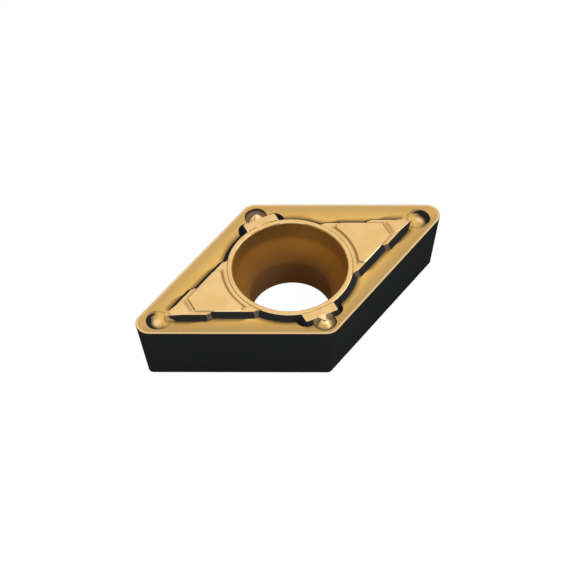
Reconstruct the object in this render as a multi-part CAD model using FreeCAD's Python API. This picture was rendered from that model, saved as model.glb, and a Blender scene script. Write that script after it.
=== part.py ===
import FreeCAD, Part
import math
import os

# Indexable turning insert: a rhombic plate with a nose at each end of its long diagonal, a moulded
# chip breaker on top and a countersunk hole for its screw. It is pressed and sintered as one piece.
# Millimetres. The origin is on the hole's axis in the seat plane, +Z points up to the rake face
# and +X along the long diagonal to one nose. Both diagonals are planes of symmetry.

# Blank
INSCRIBED_DIAMETER = 9.525  # circle that touches the four cutting edges
NOSE_ANGLE = 55.0
CORNER_RADIUS = 0.8
THICKNESS = 3.97            # seat to cutting edge
CLEARANCE_ANGLE = 7.0       # all flanks lean in below the cutting edge by this
EDGE_HONE = 0.035           # radius that dulls the cutting edge

# Rake face, from the cutting edge inwards
LAND_WIDTH = 0.10
RAKE_WIDTH = 1.20
GROOVE_DEPTH = 0.17         # groove floor under the cutting edge
RAKE_HOLLOW = 1.5           # 1 is a flat rake, more makes it steeper at the land and level at the groove
GROOVE_CORNER = 0.12

# Heights of the pads over the cutting edge
RING_RISE = 0.14
FLOOR_PAD_RISE = 0.105
STEP_PAD_RISE = 0.115
ARROW_RISE = 0.135
PLATEAU_RISE = 0.165
TEE_RISE = 0.14
SPIKE_RISE = 0.165

# Walls and edges of the pads
WALL_ANGLE = 45.0           # of the long walls, over level
TEE_WALL_ANGLE = 68.0
PAD_EDGE_RADIUS = 0.07
FOOT_RADIUS = 0.30          # of the round between a long wall and the groove floor
FOOT_ANGLE = 12.0           # slope at which that round meets the floor
PAD_ROOT = 0.50             # how far the pads reach down into the blank

# Pads on the nose side. Each inset is a distance from the cutting edge, each half width is across
# the long diagonal, and together they place a corner of a pad.
ARROW_TIP_INSET = 1.23
ARROW_TIP_RUN = 0.35        # run of the wall at the tip, as a share of its run at the sides
ARROW_INSET = 1.285
ARROW_HALF_WIDTH = 0.35
ARROW_HEEL_HALF_WIDTH = 0.43
ARROW_HEEL = 0.56           # length of the arrow behind its widest corner
STEP_INSET = 1.27
STEP_NOSE_HALF_WIDTH = 0.42
STEP_HALF_WIDTH = 1.00
STEP_FLAT = 0.24            # length of the step pad's side along the diagonal
STEP_RETURN = 0.10
PLATEAU_INSET = 1.54
PLATEAU_NOSE_HALF_WIDTH = 0.52
PLATEAU_HALF_WIDTH = 1.57
PLATEAU_CORNER = 0.22
PLATEAU_GAP = 0.34          # from the ring's outer edge to the plateau
FLOOR_INSET = 1.49
FLOOR_HALF_WIDTH = 2.00
PAD_CORNER = 0.07

# Ring around the hole
RING_INNER_RADIUS = 3.22
RING_OUTER_RADIUS = 3.50
RING_EDGE_RADIUS = 0.11
RING_VALLEY = 0.07          # gap between the ring's edge and the pads beside it, at pad height

# Screw hole
BORE_DIAMETER = 4.6
BORE_LENGTH = 1.8
COUNTERSINK_RADIUS = 3.08
COUNTERSINK_TOP = 3.15      # over the seat
COUNTERSINK_BLEND = 0.9
BORE_BLEND = 0.35

# Tee pads at the blunt corners
TEE_HALF_WIDTH = 0.975
TEE_DEPTH = 0.50            # from the ring's outer edge outwards
TEE_CORNER = 0.10
SPIKE_RADIUS = 0.26
SPIKE_CENTRE = 0.39         # from the ring's outer edge
SPIKE_REACH = 0.40          # from the spike's round end to its tip
SPIKE_TIP_RADIUS = 0.05

# Bowl at each nose, whose level floor is tilted up towards the arrow
NOSE_BOWL_INSET = 0.83      # outer end of its floor, from the cutting edges
NOSE_BOWL_DEPTH = 0.35      # of that end, under the cutting edge
NOSE_BOWL_FLOOR_RADIUS = 0.50
NOSE_BOWL_TILT = 20.0
NOSE_BOWL_WALL_ANGLE = 65.0  # over its floor
NOSE_BOWL_BLEND = 0.20

# Bowl at each blunt corner and the mound in it, and the lobes beside the tee pads
BLUNT_BOWL_RADIUS = 0.65
BLUNT_BOWL_DEPTH = 0.17     # under the rims of the hollows
BLUNT_BOWL_INSET = 0.98     # centre, from the cutting edges
MOUND_RADIUS = 0.15
MOUND_RISE = 0.06           # over the cutting edge
MOUND_ANGLE = 40.0
LOBE_RADIUS = 0.65
LOBE_DEPTH = 0.23
LOBE_ACROSS = 0.78          # centre, across the short diagonal
LOBE_ALONG = 0.07           # centre, beyond the ring's outer edge
HOLLOW_WALL_ANGLE = 50.0
HOLLOW_BLEND = 0.10
HOLLOW_RIM_DROP = 0.10      # rims of the hollows under the cutting edge
RING_CUT_ANGLE = 60.0       # slope of the ring's wall where a lobe cuts into it

HALF_NOSE = math.radians(NOSE_ANGLE / 2)
NOSE_X = INSCRIBED_DIAMETER / 2 / math.sin(HALF_NOSE)
BLUNT_Y = INSCRIBED_DIAMETER / 2 / math.cos(HALF_NOSE)
GROOVE_FLOOR = THICKNESS - GROOVE_DEPTH
RIM_HEIGHT = THICKNESS - HOLLOW_RIM_DROP
BLUNT_BOWL_Y = BLUNT_Y - BLUNT_BOWL_INSET / math.cos(HALF_NOSE)
PAD_BOTTOM = THICKNESS - PAD_ROOT
FOOT_END = GROOVE_FLOOR - 0.01   # height at which the round of a foot ends, under the floor
FOOT_UNDER = 0.01           # how far its slope runs on below that
RAKE_STEPS = 6
ROUND_STEPS = 2
LIP_STEPS = 4


def circle_point(circle, angle):
    """Point at an angle on a circle (x, y, radius)."""
    x, y, radius = circle
    return x + radius * math.cos(angle), y + radius * math.sin(angle)


def side_angles(here, there, follows_ring):
    """Angles at which the side between two circles leaves the first and meets the second."""
    if follows_ring:
        return math.atan2(-here[1], -here[0]), math.atan2(-there[1], -there[0])
    along_x, along_y = there[0] - here[0], there[1] - here[1]
    lean = math.asin((here[2] - there[2]) / math.hypot(along_x, along_y))
    angle = math.atan2(along_y, along_x) - math.pi / 2 + lean
    return angle, angle


def side_edge(start, end, ring_radius):
    """Straight side, or one that runs concentric with the hole at the ring's radius."""
    first, last = FreeCAD.Vector(*start), FreeCAD.Vector(*end)
    if ring_radius is None:
        return Part.LineSegment(first, last).toShape()
    middle = FreeCAD.Vector(first.x + last.x, first.y + last.y, 0)
    middle.normalize()
    middle = middle * ring_radius + FreeCAD.Vector(0, 0, first.z)
    return Part.Arc(first, middle, last).toShape()


def hull_edges(circles, z, ring_side=None):
    """Line drawn tightly round the circles, anticlockwise. One side can follow the ring instead."""
    count = len(circles)
    angles = []
    for i in range(count):
        angles.append(side_angles(circles[i], circles[(i + 1) % count], i == ring_side))
    edges = []
    for i in range(count):
        begin, stop = angles[i - 1][1], angles[i][0]
        sweep = (stop - begin) % (2 * math.pi)
        corner = [circle_point(circles[i], begin + sweep * t) for t in (0, 0.5, 1)]
        edges.append(Part.Arc(*[FreeCAD.Vector(x, y, z) for x, y in corner]).toShape())
        there = circles[(i + 1) % count]
        landing = circle_point(there, angles[i][1])
        ring_radius = math.hypot(there[0], there[1]) - there[2] if i == ring_side else None
        edges.append(side_edge((*corner[2], z), (*landing, z), ring_radius))
    return edges


def ends(edge):
    """Start and end of an edge."""
    return edge.valueAt(edge.FirstParameter), edge.valueAt(edge.LastParameter)


def wall(lower, upper):
    """Face between an edge and its partner above: flat or conical where the two allow it."""
    start, end = ends(lower)
    upper_start, upper_end = ends(upper)
    if lower.Curve.TypeId == "Part::GeomLine":
        if (end - start).cross(upper_end - upper_start).Length < 1e-7:
            return Part.Face(Part.makePolygon([start, end, upper_end, upper_start, start]))
        return Part.makeRuledSurface(lower, upper)
    centre, upper_centre = lower.Curve.Center, upper.Curve.Center
    turn = lower.LastParameter - lower.FirstParameter
    upper_turn = upper.LastParameter - upper.FirstParameter
    apart = math.hypot(centre.x - upper_centre.x, centre.y - upper_centre.y)
    if apart < 1e-7 and abs(turn - upper_turn) < 1e-7:
        slope = Part.LineSegment(start, upper_start).toShape()
        return slope.revolve(centre, lower.Curve.Axis, math.degrees(turn))
    return Part.makeRuledSurface(lower, upper)


def skinned(outlines):
    """Solid inside the walls from each outline to the next, closed by the first and the last."""
    faces = [Part.Face(Part.Wire(outlines[0])), Part.Face(Part.Wire(outlines[-1]))]
    for lower, upper in zip(outlines, outlines[1:]):
        faces += [wall(first, second) for first, second in zip(lower, upper)]
    shell = Part.makeShell(faces)
    shell.sewShape()
    solid = Part.makeSolid(shell)
    if solid.Volume < 0:
        solid.reverse()
    return solid


def insert_outline(inset, z):
    """The insert's rounded rhombus, drawn in from the cutting edge."""
    radius = max(CORNER_RADIUS - inset, GROOVE_CORNER)
    reach = INSCRIBED_DIAMETER / 2 - inset - radius
    far_x, far_y = reach / math.sin(HALF_NOSE), reach / math.cos(HALF_NOSE)
    corners = [(far_x, 0), (0, far_y), (-far_x, 0), (0, -far_y)]
    return hull_edges([(x, y, radius) for x, y in corners], z)


def blank():
    """Flanks, honed cutting edge, land and hollow rake as one skin, closed by the seat and the floor."""
    lean = math.tan(math.radians(CLEARANCE_ANGLE))
    rings = [insert_outline(THICKNESS * lean, 0)]
    for step in range(ROUND_STEPS + 1):
        turn = math.pi / 2 * step / ROUND_STEPS
        drop = EDGE_HONE * (1 - math.sin(turn))
        rings.append(insert_outline(drop * lean + EDGE_HONE * (1 - math.cos(turn)), THICKNESS - drop))
    for step in range(RAKE_STEPS + 1):
        share = step / RAKE_STEPS
        fall = GROOVE_DEPTH * (1 - (1 - share) ** RAKE_HOLLOW)
        rings.append(insert_outline(LAND_WIDTH + RAKE_WIDTH * share, THICKNESS - fall))
    return skinned(rings)


def edge_round(slope, radius, steps):
    """Growth and drop, from the top down, of the round between a level top and a wall."""
    pull = radius * math.tan(slope / 2)
    turns = [slope * step / steps for step in range(steps + 1)]
    return [(radius * math.sin(turn) - pull, radius * (1 - math.cos(turn))) for turn in turns]


def pad_profile(rise, wall_angle, foot, edge):
    """Growth and height, from the top down, of a pad's rounded edge, wall and foot."""
    slope = math.radians(wall_angle)
    top = THICKNESS + rise
    profile = [(grow, top - drop) for grow, drop in edge_round(slope, edge, ROUND_STEPS)]
    if foot == 0:
        profile.append(((top - PAD_BOTTOM) / math.tan(slope), PAD_BOTTOM))
        return profile
    level = math.radians(FOOT_ANGLE)
    start = FOOT_END + foot * (math.cos(level) - math.cos(slope))
    begin = (top - start) / math.tan(slope)
    for step in range(ROUND_STEPS + 1):
        turn = slope + (level - slope) * step / ROUND_STEPS
        grow = begin + foot * (math.sin(slope) - math.sin(turn))
        profile.append((grow, start - foot * (math.cos(turn) - math.cos(slope))))
    under = profile[-1][0] + FOOT_UNDER / math.tan(level)
    return profile + [(under, FOOT_END - FOOT_UNDER), (under, PAD_BOTTOM)]


def pad(circles, rise, wall_angle=WALL_ANGLE, foot=FOOT_RADIUS, ring_side=None, tip_run=1.0):
    """Raised pad whose circles give its sharp outline. The wall at the first circle can be steeper."""
    outlines = []
    for grow, z in pad_profile(rise, wall_angle, foot, PAD_EDGE_RADIUS):
        grown = [(x, y, radius + grow) for x, y, radius in circles]
        x, y, radius = circles[0]
        grown[0] = (x, y, radius + grow * (tip_run if grow > 0 else 1))
        outlines.append(hull_edges(grown, z, ring_side))
    return skinned(outlines)


def corner_circle(inset, half_width, radius):
    """Circle that rounds a pad's corner, on the line parallel to the cutting edge at this inset."""
    x = NOSE_X - (inset + radius) / math.sin(HALF_NOSE) - (half_width - radius) / math.tan(HALF_NOSE)
    return x, half_width - radius, radius


def mirrored(circles):
    """The circles on the far side of the long diagonal too, anticlockwise from the nearest to the nose."""
    below = [(x, -y, r) for x, y, r in reversed(circles) if y > 0]
    return circles + below


def arrow_pad():
    """Arrowhead that points at the nose and splits the chip."""
    tip = (NOSE_X - ARROW_TIP_INSET / math.sin(HALF_NOSE) - PAD_CORNER, 0, PAD_CORNER)
    wide = corner_circle(ARROW_INSET, ARROW_HALF_WIDTH, PAD_CORNER)
    heel = (wide[0] - ARROW_HEEL, ARROW_HEEL_HALF_WIDTH - PAD_CORNER, PAD_CORNER)
    return pad(mirrored([tip, wide, heel]), ARROW_RISE, foot=0, tip_run=ARROW_TIP_RUN)


def step_pad():
    """Lower pad that wraps the plateau's nose end."""
    nose = corner_circle(STEP_INSET, STEP_NOSE_HALF_WIDTH, PAD_CORNER)
    shoulder = corner_circle(STEP_INSET, STEP_HALF_WIDTH, PAD_CORNER)
    flat_end = (shoulder[0] - STEP_FLAT, shoulder[1], PAD_CORNER)
    inner = (flat_end[0] - STEP_RETURN, shoulder[1] - 2 * STEP_RETURN, PAD_CORNER)
    return pad(mirrored([nose, shoulder, flat_end, inner]), STEP_PAD_RISE)


def floor_pad():
    """Pad that carries the plateau and runs into the ring, with a shoulder each side of it."""
    nose = corner_circle(FLOOR_INSET, PLATEAU_NOSE_HALF_WIDTH, PAD_CORNER)
    shoulder = corner_circle(FLOOR_INSET, FLOOR_HALF_WIDTH, PAD_CORNER)
    inner = ((RING_INNER_RADIUS + RING_OUTER_RADIUS) / 2 * 0.7, shoulder[1], PAD_CORNER)
    return pad(mirrored([nose, shoulder, inner]), FLOOR_PAD_RISE)


def plateau():
    """Highest pad. Its inner side is concentric with the hole."""
    nose = corner_circle(PLATEAU_INSET, PLATEAU_NOSE_HALF_WIDTH, PAD_CORNER)
    shoulder = corner_circle(PLATEAU_INSET, PLATEAU_HALF_WIDTH, PLATEAU_CORNER)
    from_axis = RING_OUTER_RADIUS + PLATEAU_GAP + PLATEAU_CORNER
    inner_y = PLATEAU_HALF_WIDTH - PLATEAU_CORNER
    inner = (math.sqrt(from_axis ** 2 - inner_y ** 2), inner_y, PLATEAU_CORNER)
    circles = mirrored([nose, shoulder, inner])
    return pad(circles, PLATEAU_RISE, ring_side=2)


def tee_pad():
    """Pad across a blunt corner, open to the ring."""
    outer_y = RING_OUTER_RADIUS + TEE_DEPTH - TEE_CORNER
    across = TEE_HALF_WIDTH - TEE_CORNER
    inner_y = RING_INNER_RADIUS
    circles = [(across, outer_y), (-across, outer_y), (-across, inner_y), (across, inner_y)]
    return pad([(x, y, TEE_CORNER) for x, y in circles], TEE_RISE, TEE_WALL_ANGLE, foot=0)


def spike_pad():
    """Drop-shaped pad on the tee that points into the blunt corner's bowl."""
    centre = RING_OUTER_RADIUS + SPIKE_CENTRE
    circles = [(0, centre, SPIKE_RADIUS), (0, centre + SPIKE_REACH, SPIKE_TIP_RADIUS)]
    return pad(circles, SPIKE_RISE, TEE_WALL_ANGLE, foot=0)


def at_both_ends(shapes):
    """The shapes, and their copies half a turn round the hole's axis."""
    copies = []
    for shape in shapes:
        copy = shape.copy()
        copy.rotate(FreeCAD.Vector(0, 0, 0), FreeCAD.Vector(0, 0, 1), 180)
        copies.append(copy)
    return shapes + copies


def blended_face(corners):
    """Face in the XZ plane with corners (radius, height, blend), each blend a tangent arc."""
    edges, runs = [], []
    for i, (x, z, blend) in enumerate(corners):
        here = FreeCAD.Vector(x, 0, z)
        back = FreeCAD.Vector(corners[i - 1][0], 0, corners[i - 1][1]) - here
        ahead_corner = corners[(i + 1) % len(corners)]
        ahead = FreeCAD.Vector(ahead_corner[0], 0, ahead_corner[1]) - here
        if blend == 0:
            runs.append((here, here))
            continue
        half = back.getAngle(ahead) / 2
        back.normalize()
        ahead.normalize()
        inward = back + ahead
        inward.normalize()
        start = here + back * (blend / math.tan(half))
        end = here + ahead * (blend / math.tan(half))
        middle = here + inward * (blend / math.sin(half) - blend)
        edges.append(Part.Arc(start, middle, end).toShape())
        runs.append((start, end))
    for i, (_, leave) in enumerate(runs):
        reach = runs[(i + 1) % len(runs)][0]
        edges.append(Part.LineSegment(leave, reach).toShape())
    return Part.Face(Part.Wire(Part.__sortEdges__(edges)))


def turned(corners):
    """Solid of revolution about the hole's axis."""
    return blended_face(corners).revolve(FreeCAD.Vector(0, 0, 0), FreeCAD.Vector(0, 0, 1), 360)


def ring():
    """Raised lip round the hole, whose outer wall runs down to the groove."""
    inner = COUNTERSINK_RADIUS - RING_EDGE_RADIUS
    outer = pad_profile(RING_RISE, WALL_ANGLE, FOOT_RADIUS, RING_EDGE_RADIUS)
    corners = [(RING_OUTER_RADIUS + grow, z, 0) for grow, z in outer]
    return turned(corners + [(inner, PAD_BOTTOM, 0), (inner, THICKNESS + RING_RISE, 0)])


def ring_clearance():
    """Cone that trims the pads beside the ring, so that a fine valley is left outside its edge."""
    top = THICKNESS + max(TEE_RISE, SPIKE_RISE)
    radius = RING_OUTER_RADIUS + RING_VALLEY
    depth = top - PAD_BOTTOM
    return Part.makeCone(radius - depth, radius, depth, FreeCAD.Vector(0, 0, PAD_BOTTOM))


def screw_hole():
    """Bore, countersink and upper wall of the hole, and the round of its lip, as a void."""
    bore = BORE_DIAMETER / 2
    top = THICKNESS + RING_RISE
    slope = math.atan2(top - COUNTERSINK_TOP, RING_INNER_RADIUS - COUNTERSINK_RADIUS)
    lip = [(RING_INNER_RADIUS - grow, top - drop, 0)
           for grow, drop in reversed(edge_round(slope, RING_EDGE_RADIUS, LIP_STEPS))]
    return turned([
        (0, -1, 0),
        (bore, -1, 0),
        (bore, BORE_LENGTH, BORE_BLEND),
        (COUNTERSINK_RADIUS, COUNTERSINK_TOP, COUNTERSINK_BLEND),
        *lip,
        (lip[-1][0], top + 1, 0),
        (0, top + 1, 0),
    ])


def nose_bowl():
    """Round bowl whose floor rises from its outer end towards the arrow."""
    top = 2 * NOSE_BOWL_DEPTH
    spread = top / math.tan(math.radians(NOSE_BOWL_WALL_ANGLE))
    shape = turned([
        (0, 0, 0),
        (NOSE_BOWL_FLOOR_RADIUS, 0, NOSE_BOWL_BLEND),
        (NOSE_BOWL_FLOOR_RADIUS + spread, top, 0),
        (0, top, 0),
    ])
    end = FreeCAD.Vector(NOSE_BOWL_FLOOR_RADIUS, 0, 0)
    shape.rotate(end, FreeCAD.Vector(0, 1, 0), NOSE_BOWL_TILT)
    x = NOSE_X - NOSE_BOWL_INSET / math.sin(HALF_NOSE)
    shape.translate(FreeCAD.Vector(x, 0, THICKNESS - NOSE_BOWL_DEPTH) - end)
    return shape


def dish(x, y, radius, depth):
    """Hollow with a level floor and a wall that slopes through its rim."""
    floor = RIM_HEIGHT - depth
    top = THICKNESS + PLATEAU_RISE
    run = 1 / math.tan(math.radians(HOLLOW_WALL_ANGLE))
    shape = turned([
        (0, floor, 0),
        (radius - depth * run, floor, HOLLOW_BLEND),
        (radius + (top - RIM_HEIGHT) * run, top, 0),
        (0, top, 0),
    ])
    shape.translate(FreeCAD.Vector(x, y, 0))
    return shape


def hollows():
    """Bowls at the four corners, and the lobes, which stop at a steeper wall of the ring."""
    top = THICKNESS + PLATEAU_RISE
    height = top - PAD_BOTTOM
    spread = height / math.tan(math.radians(RING_CUT_ANGLE))
    bottom = FreeCAD.Vector(0, 0, PAD_BOTTOM)
    ring_wall = Part.makeCone(RING_OUTER_RADIUS + spread, RING_OUTER_RADIUS, height, bottom)
    lobe = RING_OUTER_RADIUS + LOBE_ALONG
    shapes = [nose_bowl(), dish(0, BLUNT_BOWL_Y, BLUNT_BOWL_RADIUS, BLUNT_BOWL_DEPTH)]
    for across in (LOBE_ACROSS, -LOBE_ACROSS):
        shapes.append(dish(across, lobe, LOBE_RADIUS, LOBE_DEPTH).cut(ring_wall))
    return at_both_ends(shapes)


def mound():
    """Low cone under the spike's tip that rises from the floor of the blunt corner's bowl."""
    height = THICKNESS + MOUND_RISE - PAD_BOTTOM
    spread = height / math.tan(math.radians(MOUND_ANGLE))
    bottom = FreeCAD.Vector(0, BLUNT_BOWL_Y, PAD_BOTTOM)
    return Part.makeCone(MOUND_RADIUS + spread, MOUND_RADIUS, height, bottom)


def insert_body():
    """The whole insert."""
    clearance = ring_clearance()
    raised = [shape.cut(clearance) for shape in (floor_pad(), tee_pad(), spike_pad())]
    raised += [plateau(), step_pad(), arrow_pad(), mound()]
    body = blank().fuse(ring())
    body = body.cut(hollows())
    body = body.fuse(at_both_ends(raised))
    body = body.cut(screw_hole())
    return body.removeSplitter()


def main():
    os.makedirs("parts", exist_ok=True)
    body = insert_body()
    print("solids", len(body.Solids), "valid", body.isValid(), "faces", len(body.Faces))
    print("volume mm3", round(body.Volume, 3), "box", body.BoundBox)
    body.exportStep("parts/insert_body.step")


main()
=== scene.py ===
import math

import bpy
from mathutils import Matrix, Vector


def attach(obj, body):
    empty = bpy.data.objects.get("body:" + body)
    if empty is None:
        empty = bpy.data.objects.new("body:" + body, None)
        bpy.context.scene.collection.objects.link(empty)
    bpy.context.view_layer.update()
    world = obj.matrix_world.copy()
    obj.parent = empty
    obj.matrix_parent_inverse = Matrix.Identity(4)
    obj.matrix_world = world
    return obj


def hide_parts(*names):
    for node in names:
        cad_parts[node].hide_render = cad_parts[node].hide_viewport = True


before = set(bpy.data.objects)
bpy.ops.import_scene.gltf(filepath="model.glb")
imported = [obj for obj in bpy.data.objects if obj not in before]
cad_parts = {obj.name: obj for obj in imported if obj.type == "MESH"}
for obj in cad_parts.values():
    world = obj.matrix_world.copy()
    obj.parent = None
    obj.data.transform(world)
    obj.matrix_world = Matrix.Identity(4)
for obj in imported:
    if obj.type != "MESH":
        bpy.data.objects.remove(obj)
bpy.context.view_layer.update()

MM = 0.001

# The insert's form, in millimetres, as far as its finish follows it. Both diagonals are planes of symmetry,
# so one sharp corner, one blunt corner and one lobe stand for all of them.
INSCRIBED_RADIUS = 4.7625
HALF_NOSE = math.radians(27.5)
EDGE_HEIGHT = 3.97
LIP_RADIUS = 3.25
RING_RADIUS = 3.50
GROOVE_INSET = 1.25
ARROW_INSET = 1.28
LOW_PAD_INSET = 1.49
PAD_TOPS_INSET = 1.60
TEE_PAD = (0.93, 3.99)
BOWL = (8.05, 0)
BOWL_RADIUS = 0.74
BOWL_HOLLOW = (7.84, 0)
BOWL_FLOOR = (8.20, 0)
BLUNT_BOWL = (0, 4.264)
BLUNT_BOWL_RADIUS = 0.78
MOUND_RADIUS = 0.49
LOBE = (0.78, 3.57)
LOBE_RADIUS = 0.66

# Upward part of the normal: above the first number the surface is level, and below the second it is a wall.
# In the bowls only what is steeper still is a wall.
WALL_SLOPE = (0.965, 0.875)
BOWL_WALL_SLOPE = (0.755, 0.705)

# Heights between which the pads' rounded edges turn into walls
PAD_EDGE_HEIGHTS = (4.095, 4.070)

# Grain, with its height in millimetres, and roughness of the coatings
GRAIN_HEIGHT = 0.004
GRAIN_STRENGTH = 0.25
GOLD_ROUGHNESS = 0.34
GRAIN_ROUGHNESS = 0.10
BLACK_ROUGHNESS = 0.05

# Skin: corners of the solid's faces this near to each other, in millimetres, are merged, and turns under this
# angle are shaded smooth
MERGE_DISTANCE = 0.0004
SMOOTH_ANGLE = math.radians(24)

# Viewpoint of the photograph: millimetres and degrees
FOCAL_LENGTH = 166.69
SENSOR_WIDTH = 36
VIEW_DISTANCE = 151.612
VIEW_AZIMUTH = -24.745
VIEW_ELEVATION = 49.694
VIEW_ROLL = -2.054
VIEW_OFFSET = (-0.207, 1.446)

# Lamps: place in metres, width in metres, power in watts
LAMPS = {
    "overhead": ((0.08, 0.18, 0.33), 0.25, 0.055),
    "side": ((0.25, 0.02, 0.24), 0.10, 0.06),
    "front": ((0.22, -0.22, 0.29), 0.12, 0.34),
}

# Pale floor, with its width in metres and its drop under the insert in millimetres, and pale surroundings.
# Both show as nearly white on these rays.
FLOOR_WIDTH = 1.2
FLOOR_DROP = 0.01
FLOOR_GREY = 0.85
FLOOR_GLOW = 1.06
FLOOR_PALENESS = 0.93
PLAIN_DAYLIGHT = 0.45
SEEING_RAYS = ("Camera", "Glossy", "Transmission")


def colour(red, green, blue):
    """Scene colour of a screen colour given from 0 to 255."""
    linear = [c / 255 / 12.92 if c <= 10 else ((c / 255 + 0.055) / 1.055) ** 2.4 for c in (red, green, blue)]
    return (*linear, 1.0)


# Gold-coloured coating, with painted light and shade
# Painted shade and light on the rake: darker by the cutting edge, lighter in the groove, as the shading of
# its slope
RAKE_SHADED_BY_THE_EDGE = colour(186, 152, 95)
RAKE_LIT_IN_THE_GROOVE = colour(221, 177, 97)
# Painted light: the raised pads, which face the overhead lamp, are painted paler than the rake
LIT_RAISED_PADS = colour(224, 188, 129)
CLOUDING = colour(200, 152, 74)
# Painted highlight on the flat land along the cutting edge
LAND_HIGHLIGHT = colour(230, 200, 154)
# Painted highlight on the pads' rounded top edges
PAD_EDGE_HIGHLIGHT = colour(255, 230, 184)
# Painted highlight on the floor of each sharp corner's bowl
BOWL_HIGHLIGHT = colour(250, 218, 168)
# Painted shade in a band round the rim of each sharp corner's bowl
BOWL_RIM_SHADE = colour(112, 86, 50)
# Painted highlight on the mound in each blunt corner's bowl
MOUND_HIGHLIGHT = colour(255, 226, 178)
# Painted shade at the foot of the walls
WALL_FOOT_SHADE = colour(92, 72, 44)
# Painted shade in the small steps and valleys between the pads
CREASE_SHADE = colour(150, 112, 66)
# Painted highlight on the walls near the arrow's tip
ARROW_TIP_HIGHLIGHT = colour(236, 206, 156)

# The same coating in the hole, painted darker as shade: darkest down the bore and just under the lip, with
# painted light on the hole's sides
BORE_SHADE = colour(140, 102, 64)
COUNTERSINK = colour(176, 124, 54)
SHADE_BELOW_THE_LIP = colour(142, 102, 50)
LIT_HOLE_SIDES = colour(218, 158, 68)

# Black coating, with a painted reflection on some walls and a painted highlight in the blunt corners' bowls
WALLS = colour(53, 53, 54)
FLANKS = colour(45, 46, 47)
# Painted reflection: paler grey on the steep walls that face across the insert, away from its middle
NOTCH_REFLECTION = colour(124, 110, 94)
BLUNT_BOWL_RIM = colour(76, 64, 54)
# Painted highlight: the blunt corners' bowls are painted lighter towards their floor
BLUNT_BOWL_FLOOR_HIGHLIGHT = colour(176, 152, 118)


class Signal:
    """A number that varies over the surface. Python's operators on it add Math nodes."""

    def __init__(self, finish, socket):
        self.finish = finish
        self.socket = socket

    def joined(self, operation, *others):
        """A Math node's result from this number and others."""
        settings = {"operation": operation}
        return self.finish.node("ShaderNodeMath", settings, dict(enumerate((self, *others))))

    def __add__(self, other):
        return self.joined("ADD", other)

    def __radd__(self, other):
        return self.joined("ADD", other)

    def __sub__(self, other):
        return self.joined("SUBTRACT", other)

    def __rsub__(self, other):
        return self.joined("MULTIPLY_ADD", -1.0, other)

    def __mul__(self, other):
        return self.joined("MULTIPLY", other)

    def __rmul__(self, other):
        return self.joined("MULTIPLY", other)

    def __truediv__(self, other):
        return self.joined("DIVIDE", other)

    def __pow__(self, other):
        return self.joined("POWER", other)

    def __abs__(self):
        return self.joined("ABSOLUTE")

    def or_more(self, other):
        """The larger of the two."""
        return self.joined("MAXIMUM", other)

    def between(self, low, high):
        """0 below low and 1 above high, with a smooth run between. low may be the larger."""
        settings = {"interpolation_type": "SMOOTHSTEP"}
        inputs = {"Value": self, "From Min": low, "From Max": high, "To Min": 0, "To Max": 1}
        return self.finish.node("ShaderNodeMapRange", settings, inputs)

    def band(self, start, full, fading, end):
        """0 outside start and end and 1 from full to fading, with smooth runs between."""
        return self.between(start, full) * self.between(end, fading)


class Finish:
    """Nodes of a material or of the surroundings, added by the expressions that describe it."""

    def __init__(self, tree):
        self.tree = tree

    def node(self, kind, settings=None, inputs=None, output=0):
        """A node of this kind: its settings first, then its inputs' values or links."""
        made = self.tree.nodes.new(kind)
        for name, value in (settings or {}).items():
            setattr(made, name, value)
        for name, value in (inputs or {}).items():
            if isinstance(value, Signal):
                self.tree.links.new(value.socket, made.inputs[name])
            else:
                made.inputs[name].default_value = value
        return Signal(self, made.outputs[output]) if made.outputs else None

    def parts(self, vector):
        """The three numbers of a vector."""
        return [self.node("ShaderNodeSeparateXYZ", None, {0: vector}, axis) for axis in range(3)]

    def mixed(self, share, first, second):
        """Colour between two colours, by a share from 0 to 1."""
        return self.node("ShaderNodeMix", {"data_type": "RGBA"}, {0: share, 6: first, 7: second}, 2)

    def noise(self, place, scale, detail=2.0):
        """Even noise with this many grains to a millimetre."""
        inputs = {"Vector": place, "Scale": scale, "Detail": detail, "Roughness": 0.5}
        return self.node("ShaderNodeTexNoise", None, inputs, "Fac")

    def seen(self):
        """1 on the rays that show the pale background."""
        kinds = [self.node("ShaderNodeLightPath", None, None, f"Is {kind} Ray") for kind in SEEING_RAYS]
        return kinds[0] + kinds[1] + kinds[2]


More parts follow.
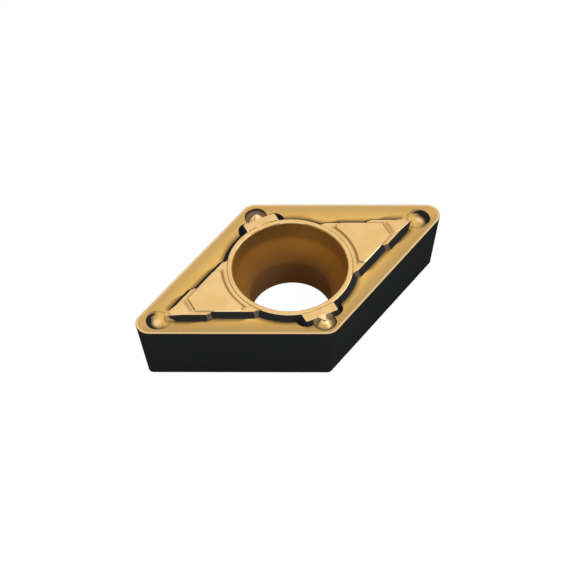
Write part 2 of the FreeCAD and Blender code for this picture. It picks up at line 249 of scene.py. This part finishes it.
class Place:
    """Where a point of the insert lies, in millimetres, and which way it faces."""

    def __init__(self, finish):
        coordinates = finish.node("ShaderNodeTexCoord", None, None, "Object")
        facing = finish.node("ShaderNodeTexCoord", None, None, "Normal")
        in_millimetres = {0: coordinates, "Scale": 1 / MM}
        self.point = finish.node("ShaderNodeVectorMath", {"operation": "SCALE"}, in_millimetres)
        x, y, self.height = finish.parts(self.point)
        self.along, self.across = abs(x), abs(y)
        lengthways, _, self.upward = finish.parts(facing)
        self.lengthways = abs(lengthways)

        self.radius = self.away_from((0, 0))
        self.inset = INSCRIBED_RADIUS - self.along * math.sin(HALF_NOSE) - self.across * math.cos(HALF_NOSE)
        self.from_bowl = self.away_from(BOWL)
        self.from_blunt_bowl = self.away_from(BLUNT_BOWL)

        self.in_hole = self.radius.between(LIP_RADIUS + 0.02, LIP_RADIUS - 0.05)
        self.outside = 1 - self.in_hole
        self.in_bowl = self.from_bowl.between(BOWL_RADIUS, BOWL_RADIUS - 0.06)
        on_tee_pad = self.along.between(TEE_PAD[0], TEE_PAD[0] - 0.03)
        on_tee_pad = on_tee_pad * self.across.between(TEE_PAD[1], TEE_PAD[1] - 0.04)
        self.on_pads = self.inset.between(PAD_TOPS_INSET - 0.03, PAD_TOPS_INSET).or_more(on_tee_pad)

        gentle = self.in_bowl.or_more(self.from_blunt_bowl.between(MOUND_RADIUS, MOUND_RADIUS - 0.08))
        steep = self.upward.between(*WALL_SLOPE) * (1 - gentle)
        self.steep = (steep + self.upward.between(*BOWL_WALL_SLOPE) * gentle) * self.outside
        self.wall = self.steep * (1 - self.on_pads)
        self.under_pad_edges = self.height.between(*PAD_EDGE_HEIGHTS)

        # The arrow's walls run out towards its tip, where their black coating gives way to a painted
        # highlight
        near_tip = (self.across + 1.1 * (self.along - 7.63)).between(-0.06, 0.08)
        near_tip = near_tip * self.along.band(6.30, 6.50, 7.88, 7.98)
        self.near_tip = near_tip * self.inset.between(0.70, 0.80)

    def away_from(self, spot):
        """Distance from a spot, seen from above."""
        return ((self.along - spot[0]) ** 2 + (self.across - spot[1]) ** 2) ** 0.5


def gold_coating(finish, place):
    """Gold-coloured coating, with painted light and shade: darker by the cutting edge, lighter in the groove
    and on the pads, painted shade in the hole with painted light on its sides, and painted highlights and
    shade on the land, the pads' edges, the bowls and the mounds.
    """
    # The rake is painted darker by the cutting edge and lighter towards the groove, as painted shading of its
    # slope
    rake = finish.mixed(place.inset.between(0.15, GROOVE_INSET), RAKE_SHADED_BY_THE_EDGE, RAKE_LIT_IN_THE_GROOVE)
    # Painted light: what stands above the rake is painted paler, as lit from overhead
    gold = finish.mixed(place.height.between(3.99, 4.07), rake, LIT_RAISED_PADS)
    gold = finish.mixed(finish.noise(place.point, 0.9).between(0.35, 0.7) * 0.3, gold, CLOUDING)
    # Painted highlight on the flat land along the cutting edge
    on_land = place.height.between(EDGE_HEIGHT - 0.010, EDGE_HEIGHT - 0.002) * place.inset.between(0.60, 0.50)
    gold = finish.mixed(0.65 * on_land, gold, LAND_HIGHLIGHT)

    # Painted shade in the hole: darker down the bore and just under the lip, with painted light on its sides
    hole = finish.mixed(place.height.between(1.1, 2.8), BORE_SHADE, COUNTERSINK)
    hole = finish.mixed(place.height.between(2.9, 3.5), hole, SHADE_BELOW_THE_LIP)
    lit_sides = (place.along / place.radius).between(0.25, 0.90) * place.height.between(1.7, 2.5)
    hole = finish.mixed(0.3 * lit_sides, hole, LIT_HOLE_SIDES)
    gold = finish.mixed(place.in_hole, gold, hole)

    # Painted highlight on the pads' rounded top edges, above the walls
    gold = finish.mixed(0.8 * place.wall * (1 - place.under_pad_edges), gold, PAD_EDGE_HIGHLIGHT)
    # Painted highlight on the floor of each sharp corner's bowl
    gold = finish.mixed(0.6 * (place.away_from(BOWL_FLOOR) ** 2).between(0.09, 0.01), gold, BOWL_HIGHLIGHT)
    # Painted shade in a band round the rim of each sharp corner's bowl
    gold = finish.mixed(0.35 * place.from_bowl.band(0.48, 0.60, 0.66, BOWL_RADIUS), gold, BOWL_RIM_SHADE)
    # Painted highlight on the mound in each blunt corner's bowl
    return finish.mixed(0.7 * place.from_blunt_bowl.between(0.36, 0.16), gold, MOUND_HIGHLIGHT)


def foot_shade(place):
    """Share of painted shade at the foot of the pads' and the ring's walls."""
    pad_inset = ARROW_INSET + (LOW_PAD_INSET - ARROW_INSET) * place.across.between(1.00, 1.15)
    near_pads = (pad_inset - place.inset).between(0.62, 0.26) * place.across.between(2.20, 2.00)
    near_ring = (place.radius - RING_RADIUS).between(0.62, 0.26)
    low = place.height.between(3.95, 3.91) * place.from_bowl.between(0.70, 1.00)
    return near_pads.or_more(near_ring) * low * (1 - place.on_pads) * place.outside


def shade_in_creases(place):
    """Share of painted shade in the small steps and valleys between the pads."""
    behind_ring = place.radius.band(3.66, 3.76, 3.82, 3.92) * place.across.between(1.65, 1.45)
    behind_arrow = place.along.band(6.15, 6.22, 6.35, 6.42) * place.across.between(0.50, 0.42)
    before_plateau = place.along.band(6.00, 6.03, 6.08, 6.16) * place.across.between(0.50, 0.44)
    beside_plateau = place.inset.band(1.40, 1.47, 1.53, 1.56) * place.across.band(0.46, 0.52, 0.95, 1.05)
    round_plateau = (before_plateau + beside_plateau) * place.height.between(4.05, 4.07)
    valleys = place.steep * place.on_pads * (0.3 + 0.7 * place.along.between(0.25, 0.45))
    return valleys.or_more(0.8 * behind_ring + 0.5 * behind_arrow + 0.7 * round_plateau)


def black_places(place):
    """Share of black coating: on the walls and flanks, round the bowls' outer ends and in the lobes."""
    walls = place.wall * (1 - place.near_tip) * place.under_pad_edges
    crescents = place.in_bowl * (place.away_from(BOWL_HOLLOW) ** 2).between(0.18, 0.47)
    crescents = crescents * place.along.between(7.80, 8.10) * (0.35 + 0.65 * place.across.between(0.62, 0.35))
    lobes = place.away_from(LOBE).between(LOBE_RADIUS, LOBE_RADIUS - 0.06) * place.height.between(3.80, 3.72)
    return walls.or_more(crescents).or_more(lobes * place.outside)


def black_coating(finish, place):
    """Black coating, with a painted reflection on the walls that face across the insert away from its middle,
    and in the blunt corners' bowls a browner black painted lighter towards the floor as a highlight.
    """
    black = finish.mixed(place.upward.between(0.05, -0.08), WALLS, FLANKS)
    # Painted reflection on the steep walls that face across the insert, away from its middle
    reflecting_notches = place.lengthways.between(0.14, 0.06) * place.upward.between(0.45, 0.60)
    reflecting_notches = reflecting_notches * place.along.between(2.0, 2.4) * (1 - place.in_bowl)
    black = finish.mixed(0.8 * reflecting_notches, black, NOTCH_REFLECTION)
    # In the blunt corners' bowls the black is browner at the rim and painted lighter towards the floor, as a
    # highlight
    bowl = finish.mixed(place.from_blunt_bowl.between(0.66, 0.52), BLUNT_BOWL_RIM, BLUNT_BOWL_FLOOR_HIGHLIGHT)
    in_blunt_bowl = place.from_blunt_bowl.between(BLUNT_BOWL_RADIUS, BLUNT_BOWL_RADIUS - 0.08)
    return finish.mixed(0.9 * in_blunt_bowl * place.height.between(3.5, 3.6), black, bowl)


def new_material(name):
    """Empty material."""
    material = bpy.data.materials.new(name)
    material.use_nodes = True
    material.node_tree.nodes.clear()
    return material


def coated_carbide():
    """Satin gold-coloured coating on what faces up and in the hole, black coating on every steep wall, with
    painted highlights and painted shade mixed into both.
    """
    material = new_material("coated_carbide")
    finish = Finish(material.node_tree)
    place = Place(finish)
    dark = black_places(place)
    # Painted highlight on the walls near the arrow's tip, where the coating is also made less metallic
    tip_highlight = place.wall * place.near_tip
    # Painted shade at the foot of the pads' and the ring's walls
    coat = finish.mixed(0.9 * foot_shade(place), gold_coating(finish, place), WALL_FOOT_SHADE)
    # Painted shade in the small steps and valleys between the pads
    coat = finish.mixed(shade_in_creases(place), coat, CREASE_SHADE)
    coat = finish.mixed(tip_highlight, coat, ARROW_TIP_HIGHLIGHT)
    coat = finish.mixed(dark, coat, black_coating(finish, place))

    grain = finish.noise(place.point, 14.0, 3.0)
    relief = {"Strength": GRAIN_STRENGTH, "Distance": GRAIN_HEIGHT * MM, "Height": grain}
    dull_hole = place.in_hole * (0.6 + 0.4 * place.height.between(2.8, 1.5))
    shader = finish.node("ShaderNodeBsdfPrincipled", None, {
        "Base Color": coat,
        "Metallic": (1 - dark) * (1 - 0.8 * tip_highlight) * (1 - dull_hole),
        "Roughness": GOLD_ROUGHNESS + GRAIN_ROUGHNESS * grain + BLACK_ROUGHNESS * dark,
        "Normal": finish.node("ShaderNodeBump", None, relief),
        "Specular IOR Level": 0.0,
    })
    finish.node("ShaderNodeOutputMaterial", None, {"Surface": shader})
    return material


def floor_finish():
    """Pale floor that shows as nearly white, with the shadow left on it."""
    material = new_material("pale_floor")
    finish = Finish(material.node_tree)
    matt = finish.node("ShaderNodeBsdfDiffuse", None, {"Color": (FLOOR_GREY, FLOOR_GREY, FLOOR_GREY, 1)})
    pale = finish.node("ShaderNodeEmission", None, {"Color": (1, 1, 1, 1), "Strength": FLOOR_GLOW})
    shader = finish.node("ShaderNodeMixShader", None, {0: FLOOR_PALENESS * finish.seen(), 1: matt, 2: pale})
    finish.node("ShaderNodeOutputMaterial", None, {"Surface": shader})
    return material


def insert_piece():
    """The insert's skin: the merged faces of its solid, shaded smooth across its gentle turns."""
    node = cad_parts["insert_body"]
    piece = bpy.data.objects.new("insert_skin", node.data.copy())
    bpy.context.scene.collection.objects.link(piece)
    bpy.ops.object.select_all(action="DESELECT")
    piece.select_set(True)
    bpy.context.view_layer.objects.active = piece
    if piece.data.has_custom_normals:
        bpy.ops.mesh.customdata_custom_splitnormals_clear()
    bpy.ops.object.mode_set(mode="EDIT")
    bpy.ops.mesh.select_all(action="SELECT")
    bpy.ops.mesh.remove_doubles(threshold=MERGE_DISTANCE * MM)
    bpy.ops.object.mode_set(mode="OBJECT")
    bpy.ops.object.shade_smooth_by_angle(angle=SMOOTH_ANGLE)
    weigh = piece.modifiers.new("weigh", "WEIGHTED_NORMAL")
    weigh.keep_sharp = True
    bpy.ops.object.modifier_apply(modifier=weigh.name)
    piece.data.materials.clear()
    piece.data.materials.append(coated_carbide())
    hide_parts("insert_body")
    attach(piece, "root")


def floor():
    """Plain floor under the insert."""
    bpy.ops.mesh.primitive_plane_add(size=FLOOR_WIDTH, location=(0, 0, -FLOOR_DROP * MM))
    plane = bpy.context.object
    plane.name = "floor"
    plane.data.materials.append(floor_finish())


def soft_lamp(name, place, width, power):
    """Large square lamp, aimed at the insert."""
    lamp = bpy.data.lights.new(name, "AREA")
    lamp.size = width
    lamp.energy = power
    holder = bpy.data.objects.new(name, lamp)
    holder.location = place
    holder.rotation_mode = "QUATERNION"
    holder.rotation_quaternion = (-Vector(place)).to_track_quat("-Z", "Y")
    bpy.context.scene.collection.objects.link(holder)


def daylight():
    """Even pale surroundings that show as white."""
    world = bpy.data.worlds.new("studio")
    world.use_nodes = True
    bpy.context.scene.world = world
    background = world.node_tree.nodes["Background"]
    background.inputs["Color"].default_value = (1, 1, 1, 1)
    strength = PLAIN_DAYLIGHT + (1 - PLAIN_DAYLIGHT) * Finish(world.node_tree).seen()
    world.node_tree.links.new(strength.socket, background.inputs["Strength"])


def camera():
    """Camera at the photograph's viewpoint."""
    turn, rise, roll = (math.radians(a) for a in (VIEW_AZIMUTH, VIEW_ELEVATION, VIEW_ROLL))
    back = Vector((math.sin(turn) * math.cos(rise), -math.cos(turn) * math.cos(rise), math.sin(rise)))
    level = Vector((math.cos(turn), math.sin(turn), 0))
    over = back.cross(level)
    right = level * math.cos(roll) + over * math.sin(roll)
    up = over * math.cos(roll) - level * math.sin(roll)
    data = bpy.data.cameras.new("camera")
    data.lens = FOCAL_LENGTH
    data.sensor_width = SENSOR_WIDTH
    data.clip_start = 0.01
    data.clip_end = 10
    holder = bpy.data.objects.new("camera", data)
    place = (right * VIEW_OFFSET[0] + up * VIEW_OFFSET[1] + back * VIEW_DISTANCE) * MM
    holder.matrix_world = Matrix.Translation(place) @ Matrix((right, up, back)).transposed().to_4x4()
    bpy.context.scene.collection.objects.link(holder)
    bpy.context.scene.camera = holder


insert_piece()
floor()
daylight()
for lamp_name, (lamp_place, lamp_width, lamp_power) in LAMPS.items():
    soft_lamp(lamp_name, lamp_place, lamp_width, lamp_power)
camera()
bpy.context.scene.view_settings.view_transform = "Standard"
